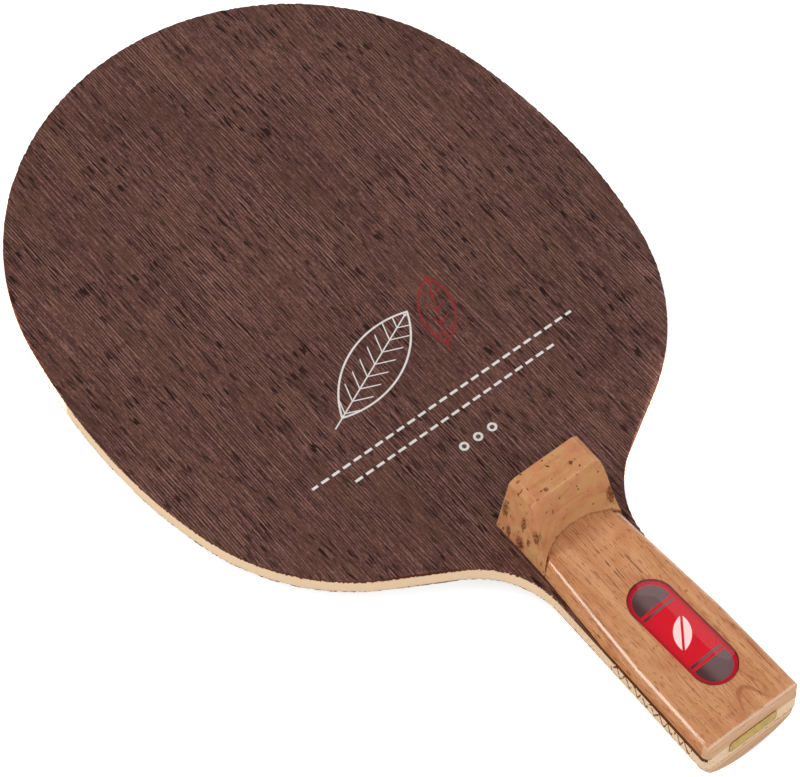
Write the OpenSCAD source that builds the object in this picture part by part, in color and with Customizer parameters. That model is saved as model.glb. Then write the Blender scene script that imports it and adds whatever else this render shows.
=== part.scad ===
// Table tennis blade with a one-sided grip: a five-ply head and tang, a wooden scale on
// each side of the tang, a cork finger rest and a clear badge let into the front scale.
//
// The origin lies on the front playing face, where the centreline crosses the widest line
// of the head. +Y runs along the centreline to the top of the head, +Z points out of the
// front playing face and +X completes the right-handed frame. Lengths are in millimetres.

/* [Head] */
// Width of the head at its widest line
head_w = 140.6; // [134:0.1:150]
// Length of the head from its widest line to its top
crown_l = 89.4; // [86:0.1:93]
// Turn of the crown between the top of the head and its sides, in degrees
crown_turn = 78.7; // [77:0.1:80]
// Radius of the flanks below the widest line
flank_r = 133; // [110:1:180]
// Turn of the flanks, in degrees
flank_turn = 14; // [10:0.5:18]
// Radius of the chins that run on from the flanks
chin_r = 57; // [50:0.5:62]
// Turn of the outline from the widest line to the end of the chins, in degrees
chin_turn = 60; // [56:0.5:64]
// Radius of the hollows between the chins and the handle
neck_r = 24.5; // [16:0.5:30]

/* [Plies] */
// Thickness of each outer ply
outer_ply_t = 0.6; // [0.4:0.1:1]
// Thickness of each ply under an outer ply
inner_ply_t = 0.6; // [0.4:0.1:1.2]
// Thickness of the middle ply
core_t = 2.8; // [2.4:0.1:4.4]

/* [Handle] */
// Width of the tang just below the neck
tang_neck_w = 26.4; // [24:0.1:29]
// Width of the tang at its end
tang_end_w = 27.8; // [25:0.1:31]
// Length of the tang below the neck
tang_l = 51.2; // [45:0.1:60]
// Radius of the handle's two end corners, seen from the front
end_corner_r = 1.8; // [0.5:0.1:3]
// Height of the front scale
front_scale_h = 5; // [4:0.1:7]
// Length of the front scale, from the tang's end to the tip of its nose
front_scale_l = 63.6; // [58:0.1:66]
// Radius of the front scale's nose, seen from the front
nose_r = 17; // [15:0.5:25]
// How far each side of a scale lies inside the tang's side
scale_inset = 0.15; // [0.05:0.05:0.5]
// Depth to which the scales and the cork are let into the outer plies
seat_depth = 0.1; // [0.05:0.05:0.3]
// Lean of the front scale's sides, in degrees
side_lean = 4; // [1:0.5:8]
// Radius along both top edges of the front scale
top_edge_r = 1.3; // [0.5:0.1:2]
// Radius along the top edge at the front scale's end
end_edge_r = 2; // [0.5:0.1:3]
// Length of the relief for finger and thumb on both sides of the front scale, beside the cork
relief_l = 22; // [15:1:40]
// Depth of the relief beside the cork
relief_d = 1.3; // [0.4:0.1:2]
// Lean of the relief's faces, in degrees
relief_lean = 12; // [5:0.5:18]
// Depth of the back scale at its middle
back_scale_depth = 6.4; // [4:0.1:8]
// Thickness of the back scale along its edges
back_edge_t = 1; // [0.5:0.1:2]
// Length of the back scale, from the tang's end to its tip at the neck
back_scale_l = 60.8; // [54:0.5:68]
// Radius of the back scale's run-out at the neck, seen from the side
run_out_r = 22; // [12:1:40]

/* [Finger rest] */
// Height of the cork above the front face
cork_h = 20.8; // [14:0.1:26]
// Width of the cork at its base
cork_base_w = 23.5; // [22:0.1:25]
// Width of the cork at its top
cork_top_w = 19.8; // [16:0.1:22]
// Length of the cork in front of the scale's nose, at its base
cork_l = 13; // [10:0.1:16]
// How far the cork's front leans back over its height
cork_front_lean = 1.9; // [0:0.1:4]
// Length of the flat on the cork's top
cork_flat_l = 8; // [5:0.1:10]
// Width of the bevels along both sides of the cork's top
cork_bevel = 1; // [0.3:0.1:2]
// Radius of the shoulder behind the cork's flat top, seen from the side
shoulder_r = 3.5; // [1:0.5:6]
// Radius of the sweep from the shoulder down to the front scale, seen from the side
sweep_r = 16; // [10:0.5:30]
// Height above the scale at which the sweep ends
lip_h = 1; // [0.4:0.1:2]
// Lean of the gouge in the middle of the cork's back, in degrees
gouge_lean = 10.5; // [4:0.5:14]

/* [Badge] */
// Length of the badge
badge_l = 32.2; // [24:0.1:36]
// Width of the badge
badge_w = 11.8; // [8:0.1:14]
// Distance from the tang's end to the badge's middle
badge_from_end = 26.6; // [22:0.1:32]
// Distance of the badge's middle from the centreline
badge_offset = 1.7; // [-2:0.1:2]
// Turn of the badge against the centreline, in degrees
badge_turn = 2; // [-4:0.5:4]
// Depth of the badge's pocket in the front scale
pocket_depth = 1.8; // [1.2:0.1:2.5]
// Thickness of the printed plate under the lens
badge_plate_t = 0.5; // [0.3:0.1:0.8]
// Height of the lens's rim above the scale's top
lens_rim_h = 0.15; // [0.05:0.05:0.5]
// Rise of the lens's middle above its rim
lens_crown_h = 0.7; // [0.3:0.1:1.2]
// Gap around the lens and the plate in their pocket
badge_gap = 0.1; // [0.05:0.05:0.3]

/* [End plate] */
// Width of the plate on the handle's end, across the plies and the front scale's lower edge
end_plate_w = 14; // [10:0.5:22]
// Height of the plate on the handle's end
end_plate_h = 4.6; // [2.5:0.1:5.2]
// Depth of the plate's middle below the front face
end_plate_depth = 1.3; // [1:0.1:2.6]
// Thickness of the plate on the handle's end
end_plate_t = 0.3; // [0.2:0.1:1]
// Radius of the plate's corners
end_plate_corner_r = 1.2; // [0.3:0.1:1.2]

/* [Hidden] */
$fn = 96;

// Points along an arc, one for about every two degrees of turn
degrees_per_point = 2;
function arc(centre, r, from, to) =
    let (n = max(2, ceil(abs(to - from) / degrees_per_point)))
    [for (i = [0:n]) centre + r * [cos(from + (to - from) * i / n), sin(from + (to - from) * i / n)]];
function mirrored(points) = [for (i = [len(points) - 1:-1:0]) [-points[i].x, points[i].y]];

// Crown: a round top and a flatter side, tangent to each other where the crown's turn ends.
// Both radii follow from the head's width and the crown's length.
head_half = head_w / 2;
crown_share = [sin(crown_turn), 1 - sin(crown_turn)];
crown_rise = [1 - cos(crown_turn), cos(crown_turn)];
crown_det = crown_share.x * crown_rise.y - crown_share.y * crown_rise.x;
top_r = (head_half * crown_rise.y - crown_share.y * crown_l) / crown_det;
side_r = (crown_share.x * crown_l - crown_rise.x * head_half) / crown_det;

// Lower half: flank, chin, a straight run and the hollow of the neck
flank_centre = [head_half - flank_r, 0];
chin_centre = flank_centre + (flank_r - chin_r) * [cos(flank_turn), -sin(flank_turn)];
chin_end = chin_centre + chin_r * [cos(chin_turn), -sin(chin_turn)];
chin_heading = [-sin(chin_turn), -cos(chin_turn)];
neck_half = tang_neck_w / 2;
straight_l = (neck_half + neck_r * (1 - cos(chin_turn)) - chin_end.x) / chin_heading.x;
neck_y = chin_end.y + straight_l * chin_heading.y - neck_r * sin(chin_turn);
neck_centre = [neck_half + neck_r, neck_y];
tang_half = tang_end_w / 2;
end_y = neck_y - tang_l;

right_side = concat(
    arc([0, crown_l - top_r], top_r, 90, 90 - crown_turn),
    arc([head_half - side_r, 0], side_r, 90 - crown_turn, 0),
    arc(flank_centre, flank_r, 0, -flank_turn),
    arc(chin_centre, chin_r, -flank_turn, -chin_turn),
    arc(neck_centre, neck_r, 180 - chin_turn, 180),
    arc([tang_half - end_corner_r, end_y + end_corner_r], end_corner_r, 0, -90));

// Levels of the faces between the plies, from the front playing face down
front_core_z = -outer_ply_t - inner_ply_t;
back_core_z = front_core_z - core_t;
back_z = back_core_z - inner_ply_t - outer_ply_t;

// Front scale: its nose, its side lines and the turn of those lines against the centreline
nose_y = end_y + front_scale_l;
nose_centre = [0, nose_y - nose_r];
scale_front_half = neck_half - scale_inset;
scale_end_half = tang_half - scale_inset;
flare = atan((scale_end_half - scale_front_half) / (neck_y - end_y));
nose_end_half = scale_front_half - relief_d;
nose_end_turn = acos(nose_end_half / nose_r);
nose_end_y = nose_centre.y + nose_r * sin(nose_end_turn);
relief_start_y = nose_end_y - relief_l;
relief_start = [scale_half(relief_start_y), relief_start_y];
relief_turn = atan((relief_start.x - nose_end_half) / relief_l);
end_corner_x = scale_end_half - end_corner_r * (1 + sin(flare)) / cos(flare);
end_corner = arc([end_corner_x, end_y + end_corner_r], end_corner_r, flare, -90);
// Room that a cutting or trimming shape reaches past what it trims
reach = 30;

// Cork: key points of its side view
cork_front_y = nose_y + cork_l;
flat_front_y = cork_front_y - cork_front_lean;
flat_back_y = flat_front_y - cork_flat_l;
lip_z = front_scale_h + lip_h;
cork_back_y = nose_end_y;

// Back scale: its deepest level and where it runs out at the neck
bottom_z = back_z - back_scale_depth;
tip_y = end_y + back_scale_l;

// Badge pocket and what it holds
badge_place = [badge_offset, end_y + badge_from_end, front_scale_h];
lens_t = pocket_depth - badge_plate_t + lens_rim_h;

module blade_outline() {
    polygon(concat(right_side, mirrored(right_side)));
}

// One ply of the blade between two levels
module ply(top_z, t) {
    translate([0, 0, top_z - t]) linear_extrude(t) blade_outline();
}

// Half width of both scales at a level of Y, without the relief
function scale_half(y) = scale_front_half + (neck_y - y) * tan(flare);

// Plan of the front scale, whose upper end is the nose arc
module nosed_plan() {
    right_edge = concat([relief_start], end_corner);
    polygon(concat(
        arc(nose_centre, nose_r, 180 - nose_end_turn, nose_end_turn),
        right_edge,
        mirrored(right_edge)));
}

// Plan of the back scale, whose upper end is straight
module straight_plan() {
    polygon(concat(
        [[-scale_half(tip_y), tip_y], [scale_half(tip_y), tip_y]],
        end_corner,
        mirrored(end_corner)));
}

// Everything on the inner side of a leaning side face with a rounded top edge. The face
// starts at x = 0 on the floor, runs along Y and leans towards -X.
module edge_trim(lean, height, r = top_edge_r) {
    lean_run = height * tan(lean);
    round_centre = [-lean_run - r * (1 / cos(lean) - tan(lean)), height - r];
    rotate([90, 0, 0]) linear_extrude(2 * (front_scale_l + reach), center = true)
        polygon(concat(
            [[-front_scale_l - reach, 0], [0, 0]],
            arc(round_centre, r, lean, 90),
            [[-front_scale_l - reach, height]]));
}

// The part that a right-hand trimming shape and its mirror image have in common
module for_both_sides() {
    intersection() {
        children();
        mirror([1, 0, 0]) children();
    }
}

// Slot with round ends, its middle at the origin and its length along Y
module slot_plan(length, width) {
    straight = length - width;
    square([width, straight], center = true);
    for (end = [-1, 1]) translate([0, end * straight / 2]) circle(d = width);
}

// Low dome over a slot plan, standing on the floor
module slot_dome(length, width, rise) {
    straight = length - width;
    half = width / 2;
    dome_r = (half * half + rise * rise) / (2 * rise);
    rotate([90, 0, 0]) linear_extrude(straight, center = true) intersection() {
        translate([0, rise - dome_r]) circle(dome_r);
        translate([-half, 0]) square([width, rise]);
    }
    for (turn = [0, 180]) rotate(turn) translate([0, straight / 2, 0])
        rotate_extrude(angle = 180) intersection() {
            translate([0, rise - dome_r]) circle(dome_r);
            square([half, rise]);
        }
}

// Moves a shape drawn around the badge's middle to its place on the front scale
module at_badge(z) {
    translate([badge_place.x, badge_place.y, z]) rotate(badge_turn) children();
}

// Outer ply of the front, with the shallow seat of the front scale and the cork
module front_outer_ply() {
    color("#5f413a") difference() {
        ply(0, outer_ply_t);
        translate([0, 0, -seat_depth]) linear_extrude(reach) {
            nosed_plan();
            translate([-cork_base_w / 2, cork_back_y]) square([cork_base_w, cork_front_y - cork_back_y]);
        }
    }
}

module front_inner_ply() {
    color("#e6cdab") ply(-outer_ply_t, inner_ply_t);
}

module core_ply() {
    color("#ecd5b4") ply(front_core_z, core_t);
}

module back_inner_ply() {
    color("#e6cdab") ply(back_core_z, inner_ply_t);
}

// Outer ply of the back, with the shallow seat of the back scale
module back_outer_ply() {
    color("#5f413a") difference() {
        ply(back_core_z - inner_ply_t, outer_ply_t);
        translate([0, 0, back_z + seat_depth - reach]) linear_extrude(reach) straight_plan();
    }
}

// Wooden scale on the front of the tang, with leaning and relieved sides, rounded top edges
// and the pocket for the badge
module front_scale() {
    height = front_scale_h + seat_depth;
    color("#c48b62") difference() {
        translate([0, 0, -seat_depth]) intersection() {
            linear_extrude(height) nosed_plan();
            for_both_sides() translate([scale_end_half, end_y, 0]) rotate(flare)
                edge_trim(side_lean, height);
            for_both_sides() translate(relief_start) rotate(relief_turn)
                edge_trim(relief_lean, height);
            translate([0, end_y, 0]) rotate(-90) edge_trim(0, height, end_edge_r);
        }
        at_badge(front_scale_h - pocket_depth) linear_extrude(pocket_depth + reach)
            slot_plan(badge_l, badge_w);
    }
}

// Wooden scale on the back of the tang: a slab with a round belly that runs out at the neck
module back_scale() {
    swell = back_scale_depth - back_edge_t;
    bar_r = (scale_end_half * scale_end_half + swell * swell) / (2 * swell);
    run_out_turn = acos(1 - back_scale_depth / run_out_r);
    run_out_y = tip_y - run_out_r * sin(run_out_turn);
    color("#c48b62") intersection() {
        translate([0, 0, bottom_z]) linear_extrude(back_scale_depth + seat_depth) straight_plan();
        translate([0, 0, bottom_z + bar_r]) rotate([90, 0, 0])
            cylinder(r = bar_r, h = 2 * (abs(end_y) + reach), center = true);
        rotate([90, 0, 90]) linear_extrude(2 * tang_end_w, center = true) polygon(concat(
            [[tip_y, back_z + seat_depth], [end_y, back_z + seat_depth], [end_y, bottom_z]],
            arc([run_out_y, bottom_z + run_out_r], run_out_r, -90, run_out_turn - 90)));
    }
}

// Side view of the cork, as points of Y and Z
function cork_side() =
    let (shoulder_centre = [flat_back_y, cork_h - shoulder_r],
         sweep_end = [cork_back_y, lip_z],
         // The sweep's centre lies outside the cork, at the sum of both radii from the
         // shoulder's centre
         sweep_centre = sweep_centre_of(shoulder_centre, sweep_end),
         out = shoulder_centre - sweep_centre,
         meet = atan2(out.y, out.x),
         last = atan2(sweep_end.y - sweep_centre.y, sweep_end.x - sweep_centre.x))
    concat(
        [[cork_front_y, -seat_depth], [flat_front_y, cork_h]],
        arc(shoulder_centre, shoulder_r, 90, 180 + meet),
        arc(sweep_centre, sweep_r, meet, last),
        [[cork_back_y, -seat_depth]]);
// Centre of the circle of radius sweep_r through the sweep's end that touches the shoulder
function sweep_centre_of(shoulder_centre, sweep_end) =
    let (gap = sweep_end - shoulder_centre,
         d = norm(gap),
         a = shoulder_r + sweep_r,
         along = (d * d + a * a - sweep_r * sweep_r) / (2 * d),
         across = sqrt(max(0, a * a - along * along)),
         u = gap / d)
    shoulder_centre + along * u + across * [u.y, -u.x];

// Cork block with a flat top, leaning front and sides, and a back that sweeps down to the
// front scale with a round gouge in its middle
module finger_rest() {
    bevel_z = cork_h - cork_bevel;
    side_slope = (cork_base_w - cork_top_w) / 2 / (cork_h + seat_depth);
    bevel_half = cork_top_w / 2 + cork_bevel * side_slope;
    color("#c5926b") difference() {
        intersection() {
            rotate([90, 0, 90]) linear_extrude(2 * cork_base_w, center = true) polygon(cork_side());
            translate([0, cork_front_y + reach, 0]) rotate([90, 0, 0])
                linear_extrude(2 * reach + cork_l + front_scale_l)
                polygon([
                    [-cork_base_w / 2, -seat_depth], [cork_base_w / 2, -seat_depth],
                    [bevel_half, bevel_z], [cork_top_w / 2 - cork_bevel, cork_h],
                    [cork_bevel - cork_top_w / 2, cork_h], [-bevel_half, bevel_z]]);
        }
        translate([0, 0, -reach]) linear_extrude(front_scale_h + reach) nosed_plan();
        translate([0, nose_y, front_scale_h]) rotate([-gouge_lean, 0, 0])
            translate([0, -nose_r, -nose_r * sin(gouge_lean)]) cylinder(r = nose_r, h = 2 * cork_h);
    }
}

// Printed plate on the floor of the badge's pocket
module badge_plate() {
    color("#b5202e") at_badge(front_scale_h - pocket_depth) linear_extrude(badge_plate_t)
        slot_plan(badge_l - 2 * badge_gap, badge_w - 2 * badge_gap);
}

// Clear lens over the plate
module badge_lens() {
    length = badge_l - 2 * badge_gap;
    width = badge_w - 2 * badge_gap;
    color("#e8c4c4", 0.4) at_badge(front_scale_h - pocket_depth + badge_plate_t) {
        linear_extrude(lens_t) slot_plan(length, width);
        translate([0, 0, lens_t]) slot_dome(length, width, lens_crown_h);
    }
}

// Thin metal plate on the tang's end, over the middle of the plies
module end_plate() {
    flat_w = end_plate_w - 2 * end_plate_corner_r;
    flat_h = end_plate_h - 2 * end_plate_corner_r;
    color("#b7a55a") translate([0, end_y, -end_plate_depth]) rotate([90, 0, 0]) linear_extrude(end_plate_t) {
        square([end_plate_w, flat_h], center = true);
        square([flat_w, end_plate_h], center = true);
        for (x = [-1, 1], y = [-1, 1]) translate([x * flat_w / 2, y * flat_h / 2])
            circle(end_plate_corner_r);
    }
}

front_outer_ply();
front_inner_ply();
core_ply();
back_inner_ply();
back_outer_ply();
front_scale();
back_scale();
finger_rest();
badge_plate();
badge_lens();
end_plate();
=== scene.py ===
from math import cos, pi, radians, sin

import bmesh
import bpy
from mathutils import Matrix, Quaternion, Vector, noise


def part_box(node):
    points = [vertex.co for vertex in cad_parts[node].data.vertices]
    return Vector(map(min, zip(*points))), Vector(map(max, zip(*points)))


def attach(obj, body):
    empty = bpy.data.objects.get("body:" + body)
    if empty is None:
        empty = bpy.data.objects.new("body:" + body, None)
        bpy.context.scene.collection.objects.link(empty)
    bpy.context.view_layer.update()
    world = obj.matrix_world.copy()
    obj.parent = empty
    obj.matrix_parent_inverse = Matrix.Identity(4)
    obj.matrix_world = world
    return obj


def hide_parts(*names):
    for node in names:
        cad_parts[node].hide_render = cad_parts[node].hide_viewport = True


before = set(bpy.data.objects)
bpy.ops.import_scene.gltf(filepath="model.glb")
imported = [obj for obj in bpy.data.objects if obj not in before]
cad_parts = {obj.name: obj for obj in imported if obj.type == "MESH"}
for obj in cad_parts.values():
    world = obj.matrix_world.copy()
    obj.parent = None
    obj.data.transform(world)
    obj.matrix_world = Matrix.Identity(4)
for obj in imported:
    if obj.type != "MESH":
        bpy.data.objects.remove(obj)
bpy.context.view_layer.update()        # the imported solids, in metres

mm = 0.001


# A Strand is one socket of a finish. Sums of strands and numbers become Math nodes.
class Strand:
    def __init__(self, finish, socket):
        self.finish = finish
        self.socket = socket

    def maths(self, kind, *terms):
        return self.finish.node("Math", {"operation": kind}, dict(enumerate(terms)))

    def __add__(self, other):
        return self.maths("ADD", self, other)

    def __sub__(self, other):
        return self.maths("SUBTRACT", self, other)

    def __rsub__(self, other):
        return self.maths("SUBTRACT", other, self)

    def __mul__(self, other):
        return self.maths("MULTIPLY", self, other)

    def __truediv__(self, other):
        return self.maths("DIVIDE", self, other)

    def __abs__(self):
        return self.maths("ABSOLUTE", self)

    def __pow__(self, power):
        return self.maths("POWER", self, power)

    def __lt__(self, other):
        return self.maths("LESS_THAN", self, other)

    def __gt__(self, other):
        return self.maths("GREATER_THAN", self, other)

    def least(self, other):
        return self.maths("MINIMUM", self, other)

    def most(self, other):
        return self.maths("MAXIMUM", self, other)

    def wrap(self, low, high):
        return self.maths("WRAP", self, high, low)

    def sine(self):
        return self.maths("SINE", self)

    def ease(self, low, high):        # 0 below low, 1 above high, soft between
        return self.finish.node("MapRange", {"interpolation_type": "SMOOTHSTEP"},
                                {0: self, 1: low, 2: high, 3: 0.0, 4: 1.0})

    __radd__ = __add__
    __rmul__ = __mul__


class Finish:
    def __init__(self, name):
        self.material = bpy.data.materials.new(name)
        self.material.use_nodes = True
        self.tree = self.material.node_tree
        self.tree.nodes.clear()
        self.cached = None

    def node(self, kind, settings=None, values=None, output=0):
        made = self.tree.nodes.new("ShaderNode" + kind)
        for key, value in (settings or {}).items():
            if key == "stops":
                self.colourRamp(made.color_ramp, value)
            else:
                setattr(made, key, value)
        for key, value in (values or {}).items():
            if isinstance(value, Strand):
                self.tree.links.new(value.socket, made.inputs[key])
            else:
                made.inputs[key].default_value = value
        return Strand(self, made.outputs[output])

    def colourRamp(self, ramp, stops):
        for place, colour in stops[1:-1]:
            ramp.elements.new(place).color = colour
        for element, (place, colour) in zip((ramp.elements[0], ramp.elements[-1]), (stops[0], stops[-1])):
            element.position = place
            element.color = colour

    def spot(self):        # Object coordinates in millimetres, one strand for each axis
        if self.cached is None:
            place = self.node("TexCoord", output=3)
            inMm = self.node("VectorMath", {"operation": "SCALE"}, {0: place, 3: 1000.0})
            split = self.node("SeparateXYZ", values={0: inMm})
            self.cached = [Strand(self, split.socket.node.outputs[i]) for i in range(3)]
        return self.cached

    def facing(self):        # 1 on level faces, 0 on upright ones
        normal = self.node("NewGeometry", output=1)
        split = self.node("SeparateXYZ", values={0: normal})
        return abs(Strand(self, split.socket.node.outputs[2]))

    def vector(self, x, y, z):
        return self.node("CombineXYZ", values={0: x, 1: y, 2: z})

    def cloud(self, x, y, z, detail=1.0):        # noise around 0.5
        return self.node("TexNoise", values={"Vector": self.vector(x, y, z), "Scale": 1.0, "Detail": detail})

    def mix(self, share, low, high):
        return self.node("Mix", {"data_type": "RGBA"}, {0: share, 6: low, 7: high}, output=2)

    def bump(self, height, depth):        # height from 0 to 1, depth in millimetres
        return self.node("Bump", values={"Height": height, "Strength": 1.0, "Distance": depth * mm})

    def surface(self, colour, constants, **linked):
        links = {key.replace("_", " "): value for key, value in linked.items()}
        shader = self.node("BsdfPrincipled", values={**constants, "Base Color": colour, **links})
        self.show(shader)
        return self.material

    def show(self, shader):
        out = self.tree.nodes.new("ShaderNodeOutputMaterial")
        self.tree.links.new(shader.socket, out.inputs["Surface"])


def ink(red, green, blue):        # a screen colour, 0 to 255, as the linear colour that shaders take
    def linear(value):
        share = value / 255
        return share / 12.92 if share <= 0.04045 else ((share + 0.055) / 1.055) ** 2.4
    return (linear(red), linear(green), linear(blue), 1.0)


def mergedCopy(node):        # a CAD node's loose triangles as one closed mesh of flat faces
    shape = bmesh.new()
    shape.from_mesh(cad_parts[node].data)
    bmesh.ops.remove_doubles(shape, verts=shape.verts, dist=0.0005 * mm)
    bmesh.ops.dissolve_limit(shape, angle_limit=radians(0.4), verts=shape.verts, edges=shape.edges)
    return shape


def piece(shape, name, material, node, smoothBelow=35):        # a finished shape, shown for a CAD node
    mesh = bpy.data.meshes.new(name)
    shape.to_mesh(mesh)
    shape.free()
    mesh.shade_smooth()
    mesh.set_sharp_from_angle(angle=radians(smoothBelow))
    thing = bpy.data.objects.new(name, mesh)
    bpy.context.scene.collection.objects.link(thing)
    mesh.materials.append(material)
    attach(thing, "root")
    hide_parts(node)
    return thing


def cutAcross(shape, places):        # short ends keep the bent corner normals away from the long faces
    for place in places:
        bmesh.ops.bisect_plane(shape, geom=shape.verts[:] + shape.edges[:] + shape.faces[:], dist=0.001 * mm,
                               plane_co=(0, place * mm, 0), plane_no=(0, 1, 0))


def levelNormals(thing):        # big flat faces keep their own normal beside narrow bevels
    weighted = thing.modifiers.new("levelNormals", "WEIGHTED_NORMAL")
    weighted.keep_sharp = True
    weighted.weight = 100


def dress(node, material):        # a CAD node that stays gets its finish
    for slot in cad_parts[node].material_slots:
        slot.material = material


def setUp(name, data, place, turn):        # a lamp or the camera
    holder = bpy.data.objects.new(name, data)
    holder.location = place
    holder.rotation_mode = "QUATERNION"
    holder.rotation_quaternion = turn
    bpy.context.scene.collection.objects.link(holder)
    return holder


scaleLow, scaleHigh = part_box("front_scale")
corkLow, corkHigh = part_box("finger_rest")
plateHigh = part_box("badge_plate")[1]
lensLow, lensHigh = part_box("badge_lens")
bladeLow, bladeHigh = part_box("front_outer_ply")
backLow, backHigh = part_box("back_outer_ply")
bellyLow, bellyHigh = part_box("back_scale")

noseRadius = 17.0            # of the front scale's round end, in millimetres
noseCentreY = scaleHigh.y / mm - noseRadius
sawnEndY = scaleLow.y / mm + 0.3        # all beyond this is the handle's sawn end


veneer = {
    "dark": ink(36, 14, 12),
    "middle": ink(88, 55, 49),
    "light": ink(146, 108, 98),
    "warm": ink(96, 68, 50),
    "pore": ink(30, 7, 6),
    "edge": ink(88, 42, 18),
    "scorched": ink(92, 42, 16),        # the sawn handle's dark brown
    "handleFrom": -99.0,     # the veneer turns brown from here on and is brownest from "handleTo" on
    "handleTo": -112.0,
    "handleShare": 0.85,     # how much of the brown it takes
    "linePitch": 0.67,       # millimetres from one light line to the next
    "slowPitch": 1.09,       # the same of a fainter set
    "thickness": 0.6,
    "ragged": 0.22,          # how far the splintered outline is bitten in, in millimetres
    "raggedStep": 0.45,      # longest stretch between two bites
    "cleanEnd": 1.6,         # the handle's end is cut clean for this far
}


def openPores(wood, x, y, across):        # 1 in the dark pores, in their chains and in long cracks
    wobble = (wood.cloud(x * 1.1, y * 0.4, 45.0) - 0.5) * 0.2
    path = across + wobble
    crowd = wood.cloud(x / 9, y / 22, 40.0).ease(0.38, 0.62)
    pores = wood.cloud(path * 2.1, y * 0.22, 51.0, 0.0).ease(0.63, 0.68) * (0.4 + crowd * 0.6)
    chains = wood.cloud(path * 1.6, y * 0.13, 57.0, 1.0).ease(0.66, 0.705)
    cracks = wood.cloud(path * 1.5, y * 0.08, 63.0, 1.0).ease(0.69, 0.74)
    return pores.most(chains).most(cracks)


# the sawn edge: dark teeth of uneven depth over the pale wood
def sawnEdge(wood, depth, bare, handle, cleanCut):        # cleanCut: 1 where no teeth are left, or None
    x, y, z = wood.spot()
    teeth = wood.cloud(x * 1.4, y * 1.4, 3.0, 1.0).ease(0.3, 0.7)
    bareWood = (depth + bare * 2 - 0.7 - teeth * 0.9 - handle * (0.45 - bare)).ease(-0.08, 0.08)
    if cleanCut is not None:
        bareWood = bareWood.most(cleanCut)
    dark = wood.mix(handle, veneer["edge"], veneer["scorched"])
    return wood.mix(bareWood, dark, pale["veneer"])


def darkVeneer(name, faceZ, bare, withPrint):        # bare: share of the sawn edge with no dark left on it
    wood = Finish(name)
    x, y, z = wood.spot()
    drift = (wood.cloud(x / 11, y / 70, z / 40) - 0.5) * 2.2 + (wood.cloud(x / 2.3, y / 26, 4.0) - 0.5) * 0.5
    across = x + drift
    lines = (across * (2 * pi / veneer["linePitch"])).sine()
    slow = ((across + drift * 0.2) * (2 * pi / veneer["slowPitch"])).sine()
    strength = wood.cloud(x / 11, y / 45, 9.0).ease(0.36, 0.62)
    fine = wood.cloud(across * 1.5, y * 0.02, z * 0.4, 2.0) - 0.5
    streaks = wood.cloud(across * 1.9, y * 0.16, 23.0, 1.0) - 0.5
    fibres = wood.cloud(across * 3.4, y * 0.7, 29.0, 2.0) - 0.5
    dust = wood.cloud(across * 2.8, y * 2.0, 19.0, 1.0) - 0.5
    patch = wood.cloud(x / 26, y / 40, 31.0) - 0.5
    tone = 0.5 + lines * (0.03 + strength * 0.17) + slow * 0.05 + fine * 0.55
    tone = tone + streaks * 0.65 + fibres * 0.7 + dust * 0.45 + patch * 0.2
    stops = ((0.05, veneer["dark"]), (0.5, veneer["middle"]), (0.95, veneer["light"]))
    tint = wood.node("ValToRGB", {"stops": stops}, {0: tone})
    warmth = wood.cloud(x / 7, y / 30, 35.0, 1.0).ease(0.42, 0.68)
    tint = wood.mix(warmth * 0.22, tint, veneer["warm"])
    openGrain = openPores(wood, x, y, across)
    colour = wood.mix(openGrain * 0.9, tint, veneer["pore"])
    handle = 1 - y.ease(veneer["handleTo"], veneer["handleFrom"])
    colour = wood.mix(handle * veneer["handleShare"], colour, veneer["scorched"])
    upright = 1 - wood.facing().ease(0.35, 0.8)
    depth = abs(z - faceZ) / veneer["thickness"]
    cleanCut = y < sawnEndY if withPrint else None
    colour = wood.mix(upright, colour, sawnEdge(wood, depth, bare, handle, cleanCut))
    rough = 0.55 + fine * 0.3 + openGrain * 0.2
    if withPrint:
        colour, rough = frontPrint(wood, x, y, colour, rough)
    relief = wood.bump(lines * 0.12 * strength - openGrain, 0.04)
    return wood.surface(colour, {"Specular IOR Level": 0.15}, Roughness=rough, Normal=relief)


def levelFaces(shape, level):        # the faces of a ply that lie at a level
    return [face for face in shape.faces if all(abs(vert.co.z - level) < 0.001 * mm for vert in face.verts)]


def refill(shape, level):        # the flat face as triangles that follow the bitten outline
    bmesh.ops.dissolve_faces(shape, faces=levelFaces(shape, level))
    bmesh.ops.triangulate(shape, faces=levelFaces(shape, level), quad_method="BEAUTY",
                          ngon_method="EAR_CLIP")


def outlineEdges(shape, level):        # a ply's outer edge at a level, without the seats' shallow steps
    found = []
    for edge in shape.edges:
        if any(abs(vert.co.z - level) > 0.01 * mm for vert in edge.verts):
            continue
        walls = [face for face in edge.link_faces if abs(face.normal.z) < 0.1]
        if walls and max(abs(vert.co.z - level) for vert in walls[0].verts) > veneer["thickness"] * mm / 2:
            found.append(edge)
    return found


# splinters: the outline's edge, halved until its stretches are short, then bitten in unevenly
def raggedEdge(shape, level, narrowFrom, narrowBite):
    longest = veneer["raggedStep"] * mm
    cleanY = scaleLow.y + veneer["cleanEnd"] * mm
    tooLong = outlineEdges(shape, level)
    while tooLong:
        bmesh.ops.subdivide_edges(shape, edges=tooLong, cuts=1)
        shape.normal_update()
        tooLong = [edge for edge in outlineEdges(shape, level) if edge.calc_length() > longest]
    outline = {vert for edge in outlineEdges(shape, level) for vert in edge.verts}
    moves = []
    for vert in outline:
        if vert.co.y < cleanY:
            continue
        outward = Vector((vert.normal.x, vert.normal.y, 0)).normalized()
        bite = min(1.0, max(0.0, 0.5 + noise.noise(vert.co / mm * 1.3) * 1.6))
        deepest = veneer["ragged"] if vert.co.y > narrowFrom * mm else narrowBite
        moves.append((vert, outward * bite * deepest * mm))
    for vert, move in moves:
        vert.co -= move
    refill(shape, level)


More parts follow.
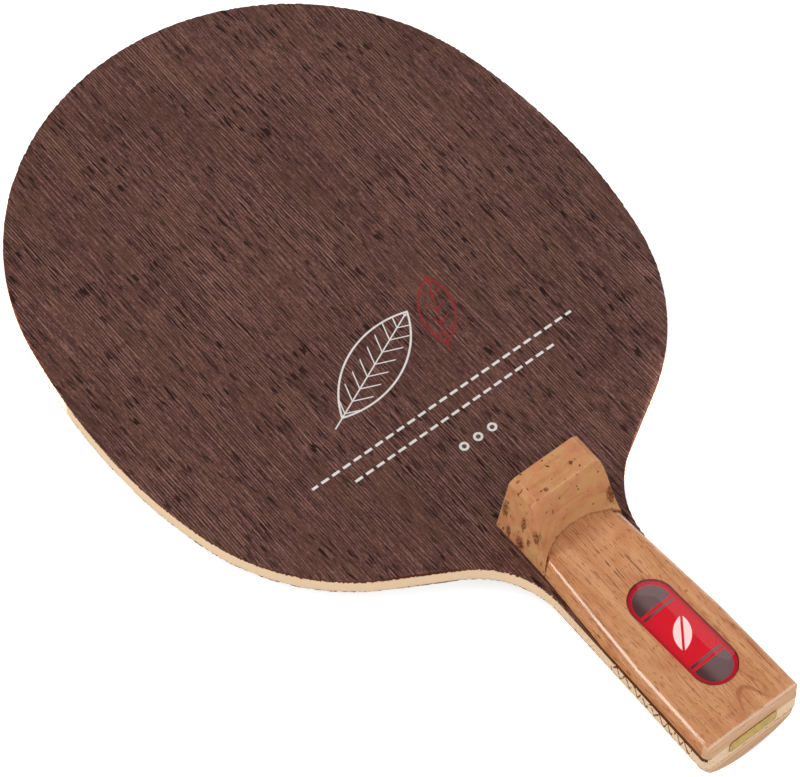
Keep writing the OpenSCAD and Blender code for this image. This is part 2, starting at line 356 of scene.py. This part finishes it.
# print on the front: two outlined leaves, two stitched lines and three rings, in millimetres
printed = {
    "white": ink(226, 221, 219),
    "red": ink(142, 34, 38),
    "line": 0.24,            # half the width of a printed line
    "soft": 0.09,            # half the width of its blurred border
    "bigLeaf": (-6.5, -20.5, 24, 16.5, 6.6),        # centre, turn in degrees, half length and half width
    "smallLeaf": (14.5, -17.8, 66, 9.6, 4.2),
    "stitches": ((-38.0, 39.0), (-42.6, 30.0)),        # each line's place and half its length
    "stitchStep": 1.6,       # half the way from one stitch to the next
    "rings": ((-4.2, -51.0), (0.0, -51.0), (4.2, -51.0)),
    "ringRadius": 0.9,
}


def turned(x, y, centreX, centreY, degrees):        # a place as seen from a turned centre
    c, s = cos(radians(degrees)), sin(radians(degrees))
    return (x - centreX) * c + (y - centreY) * s, (y - centreY) * c - (x - centreX) * s


def length(a, b):
    return (a * a + b * b) ** 0.5


def leafOutline(along, across, halfLength, halfWidth):        # distance from its border, negative inside
    bow = (halfLength ** 2 + halfWidth ** 2) / (2 * halfWidth)
    return length(along, abs(across) + (bow - halfWidth)) - bow


def leafLines(x, y, leaf, half):        # 1 on the outline, the midrib and the veins of a leaf
    along, across = turned(x, y, *leaf[:3])
    halfLength, halfWidth = leaf[3:]
    outline = leafOutline(along, across, halfLength, halfWidth)
    soft = printed["soft"]
    rim = 1 - abs(outline).ease(half - soft, half + soft)
    inside = 1 - outline.ease(-half - soft, -half + soft)
    midrib = 1 - abs(across).ease(half * 0.7 - soft, half * 0.7 + soft)
    veinPhase = (along - abs(across) * 0.9).wrap(-1.9, 1.9)
    veins = (1 - abs(veinPhase).ease(half * 0.8 - soft, half * 0.8 + soft)) * inside
    veins = veins * (1 - abs(across).ease(halfWidth * 0.55, halfWidth * 0.6))
    stem = midrib * (1 - abs(along + halfLength * 0.12).ease(halfLength * 1.08, halfLength * 1.1))
    return rim.most(stem).most(veins)


def frontPrint(wood, x, y, colour, rough):
    half = printed["line"]
    white = leafLines(x, y, printed["bigLeaf"], half)
    red = leafLines(x, y, printed["smallLeaf"], half)
    step = printed["stitchStep"]
    for lineY, halfRun in printed["stitches"]:
        thread = 1 - abs(y - lineY).ease(0.26, 0.42)
        dash = 1 - abs(x.wrap(-step, step)).ease(1.0, 1.15)
        white = white.most(thread * dash * (abs(x) < halfRun))
    for ringX, ringY in printed["rings"]:
        away = length(x - ringX, y - ringY)
        white = white.most(1 - abs(away - printed["ringRadius"]).ease(0.2, 0.42))
    worn = 0.72 + wood.cloud(x * 1.3, y * 0.5, 77.0, 2.0) * 0.4
    colour = wood.mix(red * 0.9, colour, printed["red"])
    colour = wood.mix((white * worn).least(1), colour, printed["white"])
    return colour, rough - (white + red) * 0.1


sawMarks = {
    "from": -115.0,          # they start here and stop just before the handle's end
    "to": -143.5,
    "pitch": 1.5,            # half the length of one zigzag, in millimetres like the rest
    "top": -1.0,             # level of its upper corners
    "drop": 3.6,             # from there down to its lower corners
    "half": 0.2,             # half the width of a mark
}


def zigzag(wood, y, z):        # 1 on the saw's dark zigzag across the handle's plies
    pitch, drop = sawMarks["pitch"], sawMarks["drop"]
    wander = (wood.cloud(y * 0.4, 3.0, 5.0, 1.0) - 0.5) * 3.0
    swing = abs((y + wander).wrap(-pitch, pitch)) / pitch
    away = abs(z - sawMarks["top"] + swing * drop) * (pitch / (pitch ** 2 + drop ** 2) ** 0.5)
    away = away + (wood.cloud(y * 1.6, 7.0, z * 1.6) - 0.5) * 0.14
    broken = wood.cloud(y * 0.6, 11.0, z * 0.5, 1.0).ease(0.38, 0.46)
    sawn = (y < sawMarks["from"]) * (y > sawMarks["to"])
    return (1 - away.ease(sawMarks["half"] * 0.5, sawMarks["half"] * 1.8)) * broken * sawn


pale = {
    "veneer": ink(238, 208, 174),
    "core": ink(242, 212, 178),
    "shade": ink(216, 180, 144),
    "speck": ink(150, 112, 84),
    "handleFrom": -88.0,     # the specks grow from here on and are strongest from "handleTo" on
    "handleTo": -98.0,
    "burrSoft": 0.06,        # half the width of a splinter's blurred border, in millimetres
}


def paleWood(name, main, burrTop=None):        # burrTop: the level from which dark splinters hang
    wood = Finish(name)
    x, y, z = wood.spot()
    rings = wood.cloud(x * 0.8, y * 0.5, z * 3.2, 2.0)
    handle = 1 - y.ease(pale["handleTo"], pale["handleFrom"])
    specks = wood.cloud(x * 3.1, y * 3.1, z * 3.6, 1.0).ease(0.54, 0.64) * (0.1 + handle * 0.9)
    colour = wood.mix((rings - 0.35) * 0.5, main, pale["shade"])
    colour = wood.mix(specks * 0.45, colour, pale["speck"])
    if burrTop is not None:
        hang = (wood.cloud(x * 1.5, y * 1.5, 3.0, 1.0) - 0.45 + handle * 0.2) * (1.6 + handle * 3.0)
        burr = (z - burrTop + hang).ease(-pale["burrSoft"], pale["burrSoft"]) * (y > sawnEndY)
        colour = wood.mix(burr, colour, wood.mix(handle, veneer["edge"], veneer["scorched"]))
    colour = wood.mix(zigzag(wood, y, z) * 0.9, colour, veneer["scorched"])
    relief = wood.bump(rings + specks, 0.03)
    return wood.surface(colour, {"Specular IOR Level": 0.0}, Roughness=0.6 + specks * 0.1, Normal=relief)


scaleWood = {
    "base": ink(196, 134, 90),
    "light": ink(210, 153, 110),
    "rose": ink(188, 122, 82),
    "grain": ink(160, 98, 58),
    "pore": ink(106, 50, 20),
    "joint": ink(76, 36, 16),
    "end": ink(202, 158, 122),
    # pale end grain, and the highlight painted on the back scale's end
    "endPaleGrainAndHighlight": ink(230, 196, 164),
    "paintedHighlightLevel": -6.2,        # level of the highlight line painted on the back scale's end, in millimetres like the rest
    "archX": 2.5,            # where the arched figure near the end stands
    "archY": -142.5,
    "archHalf": (5.5, 6.0),  # how far it reaches to the sides and along the handle
    "backInset": 0.35,       # the back scale stays this far inside the plies
    # places of the cuts across the front scale, two near its round end and one near the handle's end
    "cuts": (noseCentreY + 12.3, noseCentreY + 12.8, scaleLow.y / mm + 2.2),
    "jointShare": 0.35,      # how dark the joint between cork and scale is
}


def seam(stuff, x, y, z):        # the dotted arc where the cork meets the front scale
    away = abs(length(x, y - noseCentreY) - noseRadius)
    dotted = stuff.cloud(x * 1.4, y * 1.4, z * 1.4, 1.0).ease(0.42, 0.55)
    return (1 - away.ease(0.03, 0.18)) * (y > noseCentreY + noseRadius * 0.5) * (0.1 + dotted * 0.9)


def gripWood():
    wood = Finish("varnishedGripWood")
    x, y, z = wood.spot()
    drift = (wood.cloud(x / 7, y / 32, z / 9, 1.0) - 0.5) * 4.0
    across = x + drift + z * 0.35
    broad = wood.cloud(across * 0.35, y * 0.018, z * 0.2, 2.0)
    fine = wood.cloud(across * 3.2, y * 0.04, z * 2.0, 2.0)
    patch = wood.cloud(x / 7, y / 10, 12.0, 2.0)
    colour = wood.mix(broad.ease(0.36, 0.62), scaleWood["base"], scaleWood["light"])
    colour = wood.mix(patch.ease(0.50, 0.70) * 0.7, colour, scaleWood["rose"])
    colour = wood.mix(fine.ease(0.46, 0.74) * 0.55, colour, scaleWood["grain"])
    # arched figure of the growth rings near the handle's end
    archX, archY = x - scaleWood["archX"], y - scaleWood["archY"]
    halfAcross, halfAlong = scaleWood["archHalf"]
    near = 1 - length(archX / halfAcross, archY / halfAlong).ease(0.6, 1.0)
    arch = (archX * archX * 0.4 + archY * 0.9 + (wood.cloud(x * 0.6, y * 0.3, 5.0) - 0.5) * 1.5).sine()
    colour = wood.mix(arch.ease(0.62, 0.95) * near * 0.7, colour, scaleWood["grain"])
    streaks = wood.cloud(across * 2.6, y * 0.035, z * 1.6 + 33, 0.0).ease(0.70, 0.75)
    broken = wood.cloud(across * 0.8, y * 0.3, 71.0, 0.0).ease(0.42, 0.52)
    dashes = wood.cloud(across * 4.6, y * 0.26, z * 2.6 + 60, 0.0).ease(0.67, 0.71)
    ticks = wood.cloud(across * 3.8, y * 0.60, z * 2.6 + 90, 0.0).ease(0.70, 0.74)
    pores = (streaks * broken).most(dashes * 0.6).most(ticks * 0.7)
    colour = wood.mix(pores * 0.75, colour, scaleWood["pore"])
    # the end shows pale end grain in level lines, and a painted highlight line just under the plies
    endFace = (1 - wood.facing().ease(0.75, 0.99)) * (y < scaleLow.y / mm + 2.0)
    endGrainAndHighlight = wood.cloud(x * 0.15, 8.0, z * 2.2, 2.0).ease(0.35, 0.65)
    endGrainAndHighlight = (endGrainAndHighlight * 0.6).most(1 - abs(z - scaleWood["paintedHighlightLevel"]).ease(0.3, 0.8))
    colour = wood.mix(endFace * 0.85, colour, wood.mix(endGrainAndHighlight, scaleWood["end"], scaleWood["endPaleGrainAndHighlight"]))
    glue = seam(wood, x, y, z) * (z > -0.2)        # the back scale, below the plies, has no such joint
    colour = wood.mix(glue * scaleWood["jointShare"], colour, scaleWood["joint"])
    relief = wood.bump(1 - pores, 0.015)
    varnish = wood.facing().ease(0.25, 0.6)
    return wood.surface(colour, {"Specular IOR Level": 0.0, "Coat Roughness": 0.06, "Coat IOR": 1.5},
                        Roughness=0.42 + fine * 0.15, Coat_Weight=varnish, Normal=relief)


cork = {
    "base": ink(196, 138, 96),
    "rose": ink(192, 126, 88),
    "yellow": ink(198, 149, 98),
    "bark": ink(96, 46, 18),
    # pale tone of the sanded edges: wear, and a painted highlight
    "worn": ink(226, 178, 132),
    "topHalf": 9.9,          # half the width across the top, in millimetres like the rest
    "flat": 8.0,             # length of the flat top
    "lean": 1.9,             # how far the front leans back
    "lip": 0.8,              # height of the back's lower edge above the scale
    "sag": 1.2,              # how late the back falls away behind the ridge
    "bevelFrom": 0.85,       # where the side bevels begin, as a share of half the width
    "bevelDrop": 0.9,
    "cuts": 59,              # squares along each side of the block, less one
    "wear": 2,               # rounds of smoothing
    "edgeHalf": 0.28,        # half the width of the pale line painted on a sanded edge, as wear and as a highlight
    # dark hollows: x, y, z, half width and half height
    "hollows": (
        (-10.9, -73.9, 9.5, 0.9, 3.4),
        (-10.9, -80.3, 10.8, 0.7, 3.0),
        (-10.9, -84.8, 10.8, 1.15, 2.2),
        (-11.4, -80.0, 2.6, 1.3, 2.2),
        (-11.4, -76.0, 2.2, 0.7, 2.1),
        (-11.2, -82.6, 6.0, 0.5, 1.4),
        (10.3, -86.1, 9.6, 1.0, 3.6),
        (-8.5, -75.0, 20.8, 0.4, 0.6),
        (-4.8, -80.6, 20.8, 0.5, 0.6),
        (4.0, -78.7, 20.8, 0.5, 0.6),
        (1.2, -83.0, 19.4, 0.5, 0.7),
        (-4.6, -83.8, 9.8, 0.4, 0.7),
    ),
}


def corkFinish():
    stuff = Finish("sandedCork")
    x, y, z = stuff.spot()
    patch = stuff.cloud(x / 5, y / 5, z / 5, 3.0)
    layer = stuff.cloud(x / 9, y * 0.55, z * 0.4, 2.0)
    grains = stuff.cloud(x * 1.6, y * 1.6, z * 1.6, 2.0)
    colour = stuff.mix(patch.ease(0.38, 0.62), cork["rose"], cork["yellow"])
    colour = stuff.mix(0.3, colour, cork["base"])
    darker = layer.ease(0.45, 0.7) * 0.35 + (grains - 0.5) * 0.8
    colour = stuff.mix(darker.most(0.0), colour, scaleWood["grain"])
    # sanded edges get a paler tone, painted both as wear and as a highlight where they catch the light
    edgeHalf = cork["edgeHalf"]
    nearTop = z > corkHigh.z / mm - 1.5
    ridgeY = corkHigh.y / mm - cork["lean"] - cork["flat"]
    ridge = (1 - abs(y - ridgeY).ease(0.05, edgeHalf)) * nearTop
    bevelX = cork["topHalf"] * cork["bevelFrom"]
    bevel = (1 - abs(abs(x) - bevelX).ease(0.05, edgeHalf)) * nearTop * (y > ridgeY)
    wearAndSheenPatches = stuff.cloud(x * 0.7, y * 0.7, 17.0, 2.0).ease(0.35, 0.6)
    colour = stuff.mix(ridge.most(bevel) * wearAndSheenPatches * 0.35, colour, cork["worn"])
    side = abs(x).ease(9.8, 10.8)
    pits = stuff.cloud(x * 0.9, y * 0.9 + 7, z * 0.75, 0.0).ease(0.76, 0.80)
    flecks = stuff.cloud(x * 1.3 + 20, y * 1.1, z * 0.42, 1.0).ease(0.66, 0.76) * side
    uneven = (stuff.cloud(x * 1.8, y * 1.8, z * 1.0, 2.0) - 0.5) * 1.7
    marks = pits.most(flecks * 0.5)
    for centreX, centreY, centreZ, halfWidth, halfHeight in cork["hollows"]:
        plan = length(x - centreX, y - centreY) / halfWidth
        away = length(plan, (z - centreZ) / halfHeight) + uneven
        marks = marks.most(1 - away.ease(0.65, 1.35))
    core = stuff.cloud(x * 2.2, y * 2.2, z * 1.4 + 9, 1.0).ease(0.38, 0.6)
    colour = stuff.mix(marks * (0.55 + core * 0.4), colour, cork["bark"])
    colour = stuff.mix(seam(stuff, x, y, z) * scaleWood["jointShare"], colour, scaleWood["joint"])
    relief = stuff.bump(grains * 0.5 - marks, 0.12)
    return stuff.surface(colour, {"Specular IOR Level": 0.2}, Roughness=0.62 + grains * 0.15, Normal=relief)


def between(low, high, share):
    return low + (high - low) * share


def corkLevel(back):        # height of the cork's upper face, back from 0 at the ridge to 1 at the joint
    slope = min(max(back, 0.0), 1.0) ** cork["sag"]
    drop = slope * slope * (3 - 2 * slope)
    return between(corkHigh.z / mm, scaleHigh.z / mm + cork["lip"], drop)


def corkPlace(across, back, up):        # a place on the block, from its three shares of -1 to 1
    frontY = corkHigh.y / mm
    topFrontY = frontY - cork["lean"]
    ridgeY = topFrontY - cork["flat"]
    beyondBevel = max(0.0, (abs(across) - cork["bevelFrom"]) / (1 - cork["bevelFrom"]))
    level = corkLevel(back) - cork["bevelDrop"] * beyondBevel
    z = between(corkLow.z / mm, level, (up + 1) / 2)
    x = across * between(corkHigh.x / mm, cork["topHalf"], z / (corkHigh.z / mm))
    jointY = noseCentreY + (noseRadius ** 2 - x ** 2) ** 0.5
    topY = between(ridgeY, jointY, back) if back > 0 else between(ridgeY, topFrontY, -back)
    baseY = between(frontY, jointY, (back + 1) / 2)
    return Vector((x, between(baseY, topY, (up + 1) / 2), z)) * mm


def corkShape():        # a block of fine squares, drawn out to the cork's form and worn soft
    shape = bmesh.new()
    bmesh.ops.create_cube(shape, size=2)
    bmesh.ops.subdivide_edges(shape, edges=shape.edges, cuts=cork["cuts"], use_grid_fill=True)
    for vert in shape.verts:
        vert.co = corkPlace(vert.co.x, -vert.co.y, vert.co.z)
    for _ in range(cork["wear"]):
        bmesh.ops.smooth_vert(shape, verts=shape.verts, factor=0.5,
                              use_axis_x=True, use_axis_y=True, use_axis_z=True)
    bmesh.ops.recalc_face_normals(shape, faces=shape.faces)
    shape.normal_update()
    for vert in shape.verts:
        where = vert.co / mm
        pit = noise.noise(where * 0.9) - 0.42
        grain = noise.noise(where * 1.7) * 0.02
        vert.co -= vert.normal * mm * (max(0.0, pit) * 0.6 + grain)
    return shape


badge = {
    "red": ink(204, 8, 34),
    "rim": ink(178, 8, 38),
    # a dark line painted along the badge's edge as the shade of the pocket's wall
    "outline": ink(120, 6, 24),
    "grey": ink(98, 88, 88),
    "greyDark": ink(60, 48, 50),
    "white": ink(250, 226, 226),
    "clear": (0.97, 0.95, 0.95, 1.0),        # the resin itself
    "shadow": (0.92, 0.90, 0.90, 1.0),       # what it lets through into its own shadow
    "centre": (lensLow + lensHigh) / 2 / mm,        # in millimetres, like all that follows
    "turn": 2,               # degrees against the centreline
    "width": 11.6,
    "length": 32.0,
    "fieldFrom": 1.3,        # the grey field stays this far inside the outline
    "greyFrom": 7.5,         # grey begins this far from the middle, on both sides
    "bandAt": 8.6,           # a red band crosses the grey here
    "bandHalf": 0.4,
    "seed": (0.0, 0.0, 38, 4.6, 2.1),        # centre, turn in degrees, half length and half width
    "crown": 0.7,            # rise of the dome
    "lip": 0.15,             # height of its edge above the wood
    "sunk": 0.05,            # the resin holds the print without a gap of air
    "segments": 72,
    "steps": 9,              # of the dome, from its edge to its crest
}


def badgePrint():
    foil = Finish("badgeFoil")
    x, y, _ = foil.spot()
    across, along = turned(x, y, badge["centre"].x, badge["centre"].y, badge["turn"])
    halfWidth = badge["width"] / 2
    straight = badge["length"] / 2 - halfWidth
    inset = length(across, (abs(along) - straight).most(0)) - halfWidth        # negative inside
    field = 1 - (inset + badge["fieldFrom"]).ease(-0.15, 0.15)
    ends = (abs(along) - badge["greyFrom"]).ease(-0.1, 0.1)
    band = 1 - abs(abs(along) - badge["bandAt"]).ease(badge["bandHalf"] - 0.1, badge["bandHalf"] + 0.1)
    grey = field * ends * (1 - band)
    speck = foil.cloud(x * 2.4, y * 2.4, 3.0, 2.0)
    colour = foil.mix(inset.ease(-1.3, -0.9) * 0.8, badge["red"], badge["rim"])
    # painted shade: the pocket's wall darkens the edge of the print
    colour = foil.mix(inset.ease(-0.5, -0.2), colour, badge["outline"])
    shaded = foil.mix(across.ease(-3.5, -0.5), badge["greyDark"], badge["grey"])
    colour = foil.mix(grey, colour, shaded)
    seedAlong, seedAcross = turned(along, across, *badge["seed"][:3])
    seed = 1 - leafOutline(seedAlong, seedAcross, *badge["seed"][3:]).ease(-0.08, 0.08)
    halves = abs(seedAcross).ease(0.22, 0.38)        # 0 in the cleft between them
    colour = foil.mix(seed * halves, colour, badge["white"])
    colour = foil.mix(speck * 0.12, colour, badge["rim"])
    return foil.surface(colour, {"Specular IOR Level": 0.0}, Roughness=0.5 + speck * 0.1)


def clearResin():
    resin = Finish("clearResin")
    x, y, z = resin.spot()
    ripple = resin.cloud(x * 0.25, y * 0.25, z * 0.25, 1.0)
    clear = {
        "Base Color": badge["clear"],
        "Transmission Weight": 1.0,
        "Roughness": 0.02,
        "IOR": 1.46,
        "Normal": resin.bump(ripple, 0.04),
    }
    glass = resin.node("BsdfPrincipled", values=clear)
    window = resin.node("BsdfTransparent", values={0: badge["shadow"]})
    shadow = resin.node("LightPath", output=1)
    resin.show(resin.node("MixShader", values={0: shadow, 1: glass, 2: window}))
    return resin.material


def lensShape():        # a flat outline, copied down to the print, bridged, and inset upwards to a dome
    halfWidth = badge["width"] * mm / 2
    straight = badge["length"] * mm / 2 - halfWidth
    shape = bmesh.new()
    halfStep = Matrix.Rotation(pi / badge["segments"], 4, "Z")        # brings a side to each flank
    bmesh.ops.create_circle(shape, cap_ends=True, segments=badge["segments"], radius=halfWidth,
                            matrix=halfStep)
    for vert in shape.verts:
        vert.co.y += straight if vert.co.y > 0 else -straight
    top = shape.faces[:][0]
    copied = bmesh.ops.duplicate(shape, geom=[top])["geom"]
    bottom = [part for part in copied if isinstance(part, bmesh.types.BMFace)][0]
    bmesh.ops.reverse_faces(shape, faces=[bottom])
    lipZ = scaleHigh.z + badge["lip"] * mm
    for vert in top.verts:
        vert.co.z = lipZ
    for vert in bottom.verts:
        vert.co.z = plateHigh.z - badge["sunk"] * mm
    bmesh.ops.bridge_loops(shape, edges=list(top.edges) + list(bottom.edges))
    for step in range(1, badge["steps"]):
        bmesh.ops.inset_region(shape, faces=[top], thickness=halfWidth / badge["steps"],
                               use_even_offset=True)
        share = 1 - step / badge["steps"]
        for vert in top.verts:
            vert.co.z = lipZ + badge["crown"] * mm * (1 - share ** 2)
    turn = Matrix.Rotation(radians(badge["turn"]), 4, "Z")
    shift = Matrix.Translation((badge["centre"].x * mm, badge["centre"].y * mm, 0))
    bmesh.ops.transform(shape, matrix=shift @ turn, verts=shape.verts)
    bmesh.ops.recalc_face_normals(shape, faces=shape.faces)
    return shape


endPlate = {
    "base": ink(162, 130, 40),
    "light": ink(194, 160, 64),
    "blotch": ink(144, 114, 30),
    "metallic": 0.85,
    "softEdge": 0.08,        # width of the bevel on its sharp edges, in millimetres
}


def satinGold():
    metal = Finish("satinGold")
    x, y, z = metal.spot()
    brushed = metal.cloud(x * 0.25, y, z * 7.0, 2.0)
    blotch = metal.cloud(x * 0.8, y, z * 0.8, 1.0)
    colour = metal.mix(brushed * 0.7, endPlate["base"], endPlate["light"])
    colour = metal.mix(blotch.ease(0.42, 0.62) * 0.6, colour, endPlate["blotch"])
    rough = 0.34 + brushed * 0.15
    relief = metal.bump(brushed, 0.01)
    return metal.surface(colour, {"Metallic": endPlate["metallic"]}, Roughness=rough, Normal=relief)


def endPlateShape():
    shape = mergedCopy("end_plate")
    sharp = [edge for edge in shape.edges if edge.calc_face_angle(0) > radians(60)]
    bmesh.ops.bevel(shape, geom=sharp, offset=endPlate["softEdge"] * mm, offset_type="OFFSET", segments=2,
                    profile=0.5, affect="EDGES", material=-1, clamp_overlap=True)
    return shape


print("plies")
# beside a scale little veneer is left, so past a ply's fifth value its bites are only as deep as the sixth
for node, name, level, bare, narrowFrom, narrowBite, withPrint in (
        ("front_outer_ply", "frontVeneer", bladeHigh.z, 0.0, -98.0, 0.08, True),
        ("back_outer_ply", "backVeneer", backLow.z, 0.45, -86.0, 0.0, False)):
    shape = mergedCopy(node)
    raggedEdge(shape, level, narrowFrom, narrowBite)
    ply = piece(shape, name, darkVeneer(name + "Wood", level / mm, bare, withPrint), node)
    levelNormals(ply)
dress("front_inner_ply", paleWood("paleFrontVeneer", pale["veneer"], bladeLow.z / mm))
dress("back_inner_ply", paleWood("paleBackVeneer", pale["veneer"]))
dress("core_ply", paleWood("paleCore", pale["core"]))

print("scales")
scaleFinish = gripWood()
for node, name in (("front_scale", "frontScale"), ("back_scale", "backScale")):
    shape = mergedCopy(node)
    if node == "back_scale":
        for vert in shape.verts:
            vert.co.x *= 1 - scaleWood["backInset"] * mm / bellyHigh.x
    else:
        cutAcross(shape, scaleWood["cuts"])
    levelNormals(piece(shape, name, scaleFinish, node))

print("cork")
piece(corkShape(), "corkRest", corkFinish(), "finger_rest", smoothBelow=80)

print("badge and end plate")
dress("badge_plate", badgePrint())
piece(lensShape(), "badgeLens", clearResin(), "badge_lens")
levelNormals(piece(endPlateShape(), "endPlate", satinGold(), "end_plate"))


print("floor, light and camera")
ground = {
    "halfSize": 3.0,
    "white": 0.7,
    "glow": 0.62,            # what the floor adds for the eye alone, so that it reads as white
    "belly": 45 * mm,        # the back scale touches it this far from the handle's end
    "gap": 0.1 * mm,         # left between the blade and the floor
}


def paperFloor():
    paper = Finish("whitePaper")
    seen = paper.node("LightPath")
    mirrored = paper.node("LightPath", output=3)
    through = paper.node("LightPath", output=6)
    glow = paper.node("Emission", values={"Strength": seen.most(mirrored).most(through) * ground["glow"]})
    dull = paper.node("BsdfDiffuse", values={0: (ground["white"],) * 3 + (1,)})
    paper.show(paper.node("AddShader", values={0: glow, 1: dull}))
    return paper.material


# the blade lies on its belly and on the top of its head
bellyTouch = Vector((0, scaleLow.y + ground["belly"], bellyLow.z))
headTouch = Vector((0, backHigh.y, backLow.z))
slope = (headTouch.z - bellyTouch.z) / (headTouch.y - bellyTouch.y)
shape = bmesh.new()
bmesh.ops.create_grid(shape, x_segments=1, y_segments=1, size=ground["halfSize"])
for vert in shape.verts:
    vert.co.z = bellyTouch.z + slope * (vert.co.y - bellyTouch.y) - ground["gap"]
mesh = bpy.data.meshes.new("floor")
shape.to_mesh(mesh)
shape.free()
floor = bpy.data.objects.new("floor", mesh)
bpy.context.scene.collection.objects.link(floor)
mesh.materials.append(paperFloor())

world = bpy.data.worlds.new("studio")
bpy.context.scene.world = world
world.use_nodes = True
nodes, links = world.node_tree.nodes, world.node_tree.links
nodes.clear()
path = nodes.new("ShaderNodeLightPath")
either = nodes.new("ShaderNodeMixShader")
skyOut = nodes.new("ShaderNodeOutputWorld")
daylight = {
    "onThings": 0.36,        # the white sky that lights
    "behindThem": 1.0,       # the white sky that the eye sees
}
for socket, strength in enumerate(daylight.values(), 1):
    sky = nodes.new("ShaderNodeBackground")
    sky.inputs["Color"].default_value = (1, 1, 1, 1)
    sky.inputs["Strength"].default_value = strength
    links.new(sky.outputs[0], either.inputs[socket])
links.new(path.outputs["Is Camera Ray"], either.inputs[0])
links.new(either.outputs[0], skyOut.inputs[0])

middle = Vector((0, -30 * mm, 0))        # what the soft boxes face
white = (1.0, 1.0, 1.0)
warmWhite = (1.0, 0.98, 0.92)
# soft boxes: direction towards the lamp, roll in degrees, distance, width, height, radiance and colour
lamps = {
    "left": ((-0.67, 0.33, 0.67), 18, 1.6, 0.24, 1.75, 10.0, warmWhite),
    "leftFill": ((-0.85, -0.25, 0.45), 0, 1.6, 1.0, 1.0, 1.3, white),
    "right": ((0.637, 0.498, 0.588), 0, 1.6, 1.0, 1.35, 0.8, white),
    "rightEdge": ((0.88, 0.40, 0.24), 0, 1.6, 0.5, 0.22, 8.0, white),
    "front": ((0.22, -0.80, 0.56), 0, 1.8, 1.9, 1.2, 2.3, white),
}
for name, (towards, roll, distance, width, height, radiance, colour) in lamps.items():
    lamp = bpy.data.lights.new(name, "AREA")
    lamp.shape = "RECTANGLE"
    lamp.size = width
    lamp.size_y = height
    lamp.energy = radiance * pi * width * height
    lamp.color = colour
    towards = Vector(towards).normalized()
    turn = towards.to_track_quat("Z", "Y") @ Quaternion((0, 0, 1), radians(roll))
    setUp(name, lamp, middle + towards * distance, turn)


def facing(place, target):
    return (Vector(target) - Vector(place)).to_track_quat("-Z", "Y")


# small spots that wash out the pale edges: place, target, cone in degrees, softness of its border and power
kickers = {
    "leftRim": ((-0.200, 0.060, -0.0035), (-0.068, 0.046, -0.0030), 25, 0.12, 1.4),
    "rightNeck": ((0.085, -0.135, -0.0035), (0.032, -0.066, -0.0030), 26, 0.5, 0.8),
}
for name, (place, target, cone, softness, power) in kickers.items():
    lamp = bpy.data.lights.new(name, "SPOT")
    lamp.energy = power
    lamp.spot_size = radians(cone)
    lamp.spot_blend = softness
    lamp.shadow_soft_size = 0.001        # nearly a point, for a sharp border
    setUp(name, lamp, place, facing(place, target))

eye = {
    "place": (-0.33973, -0.44473, 0.88454),
    "target": (-0.006023, -0.029383, 0),
    "lens": 198,
    "sensor": 36,
}
camera = bpy.data.cameras.new("eye")
camera.lens = eye["lens"]
camera.sensor_width = eye["sensor"]
bpy.context.scene.camera = setUp("eye", camera, eye["place"], facing(eye["place"], eye["target"]))
bpy.context.scene.view_settings.view_transform = "Standard"
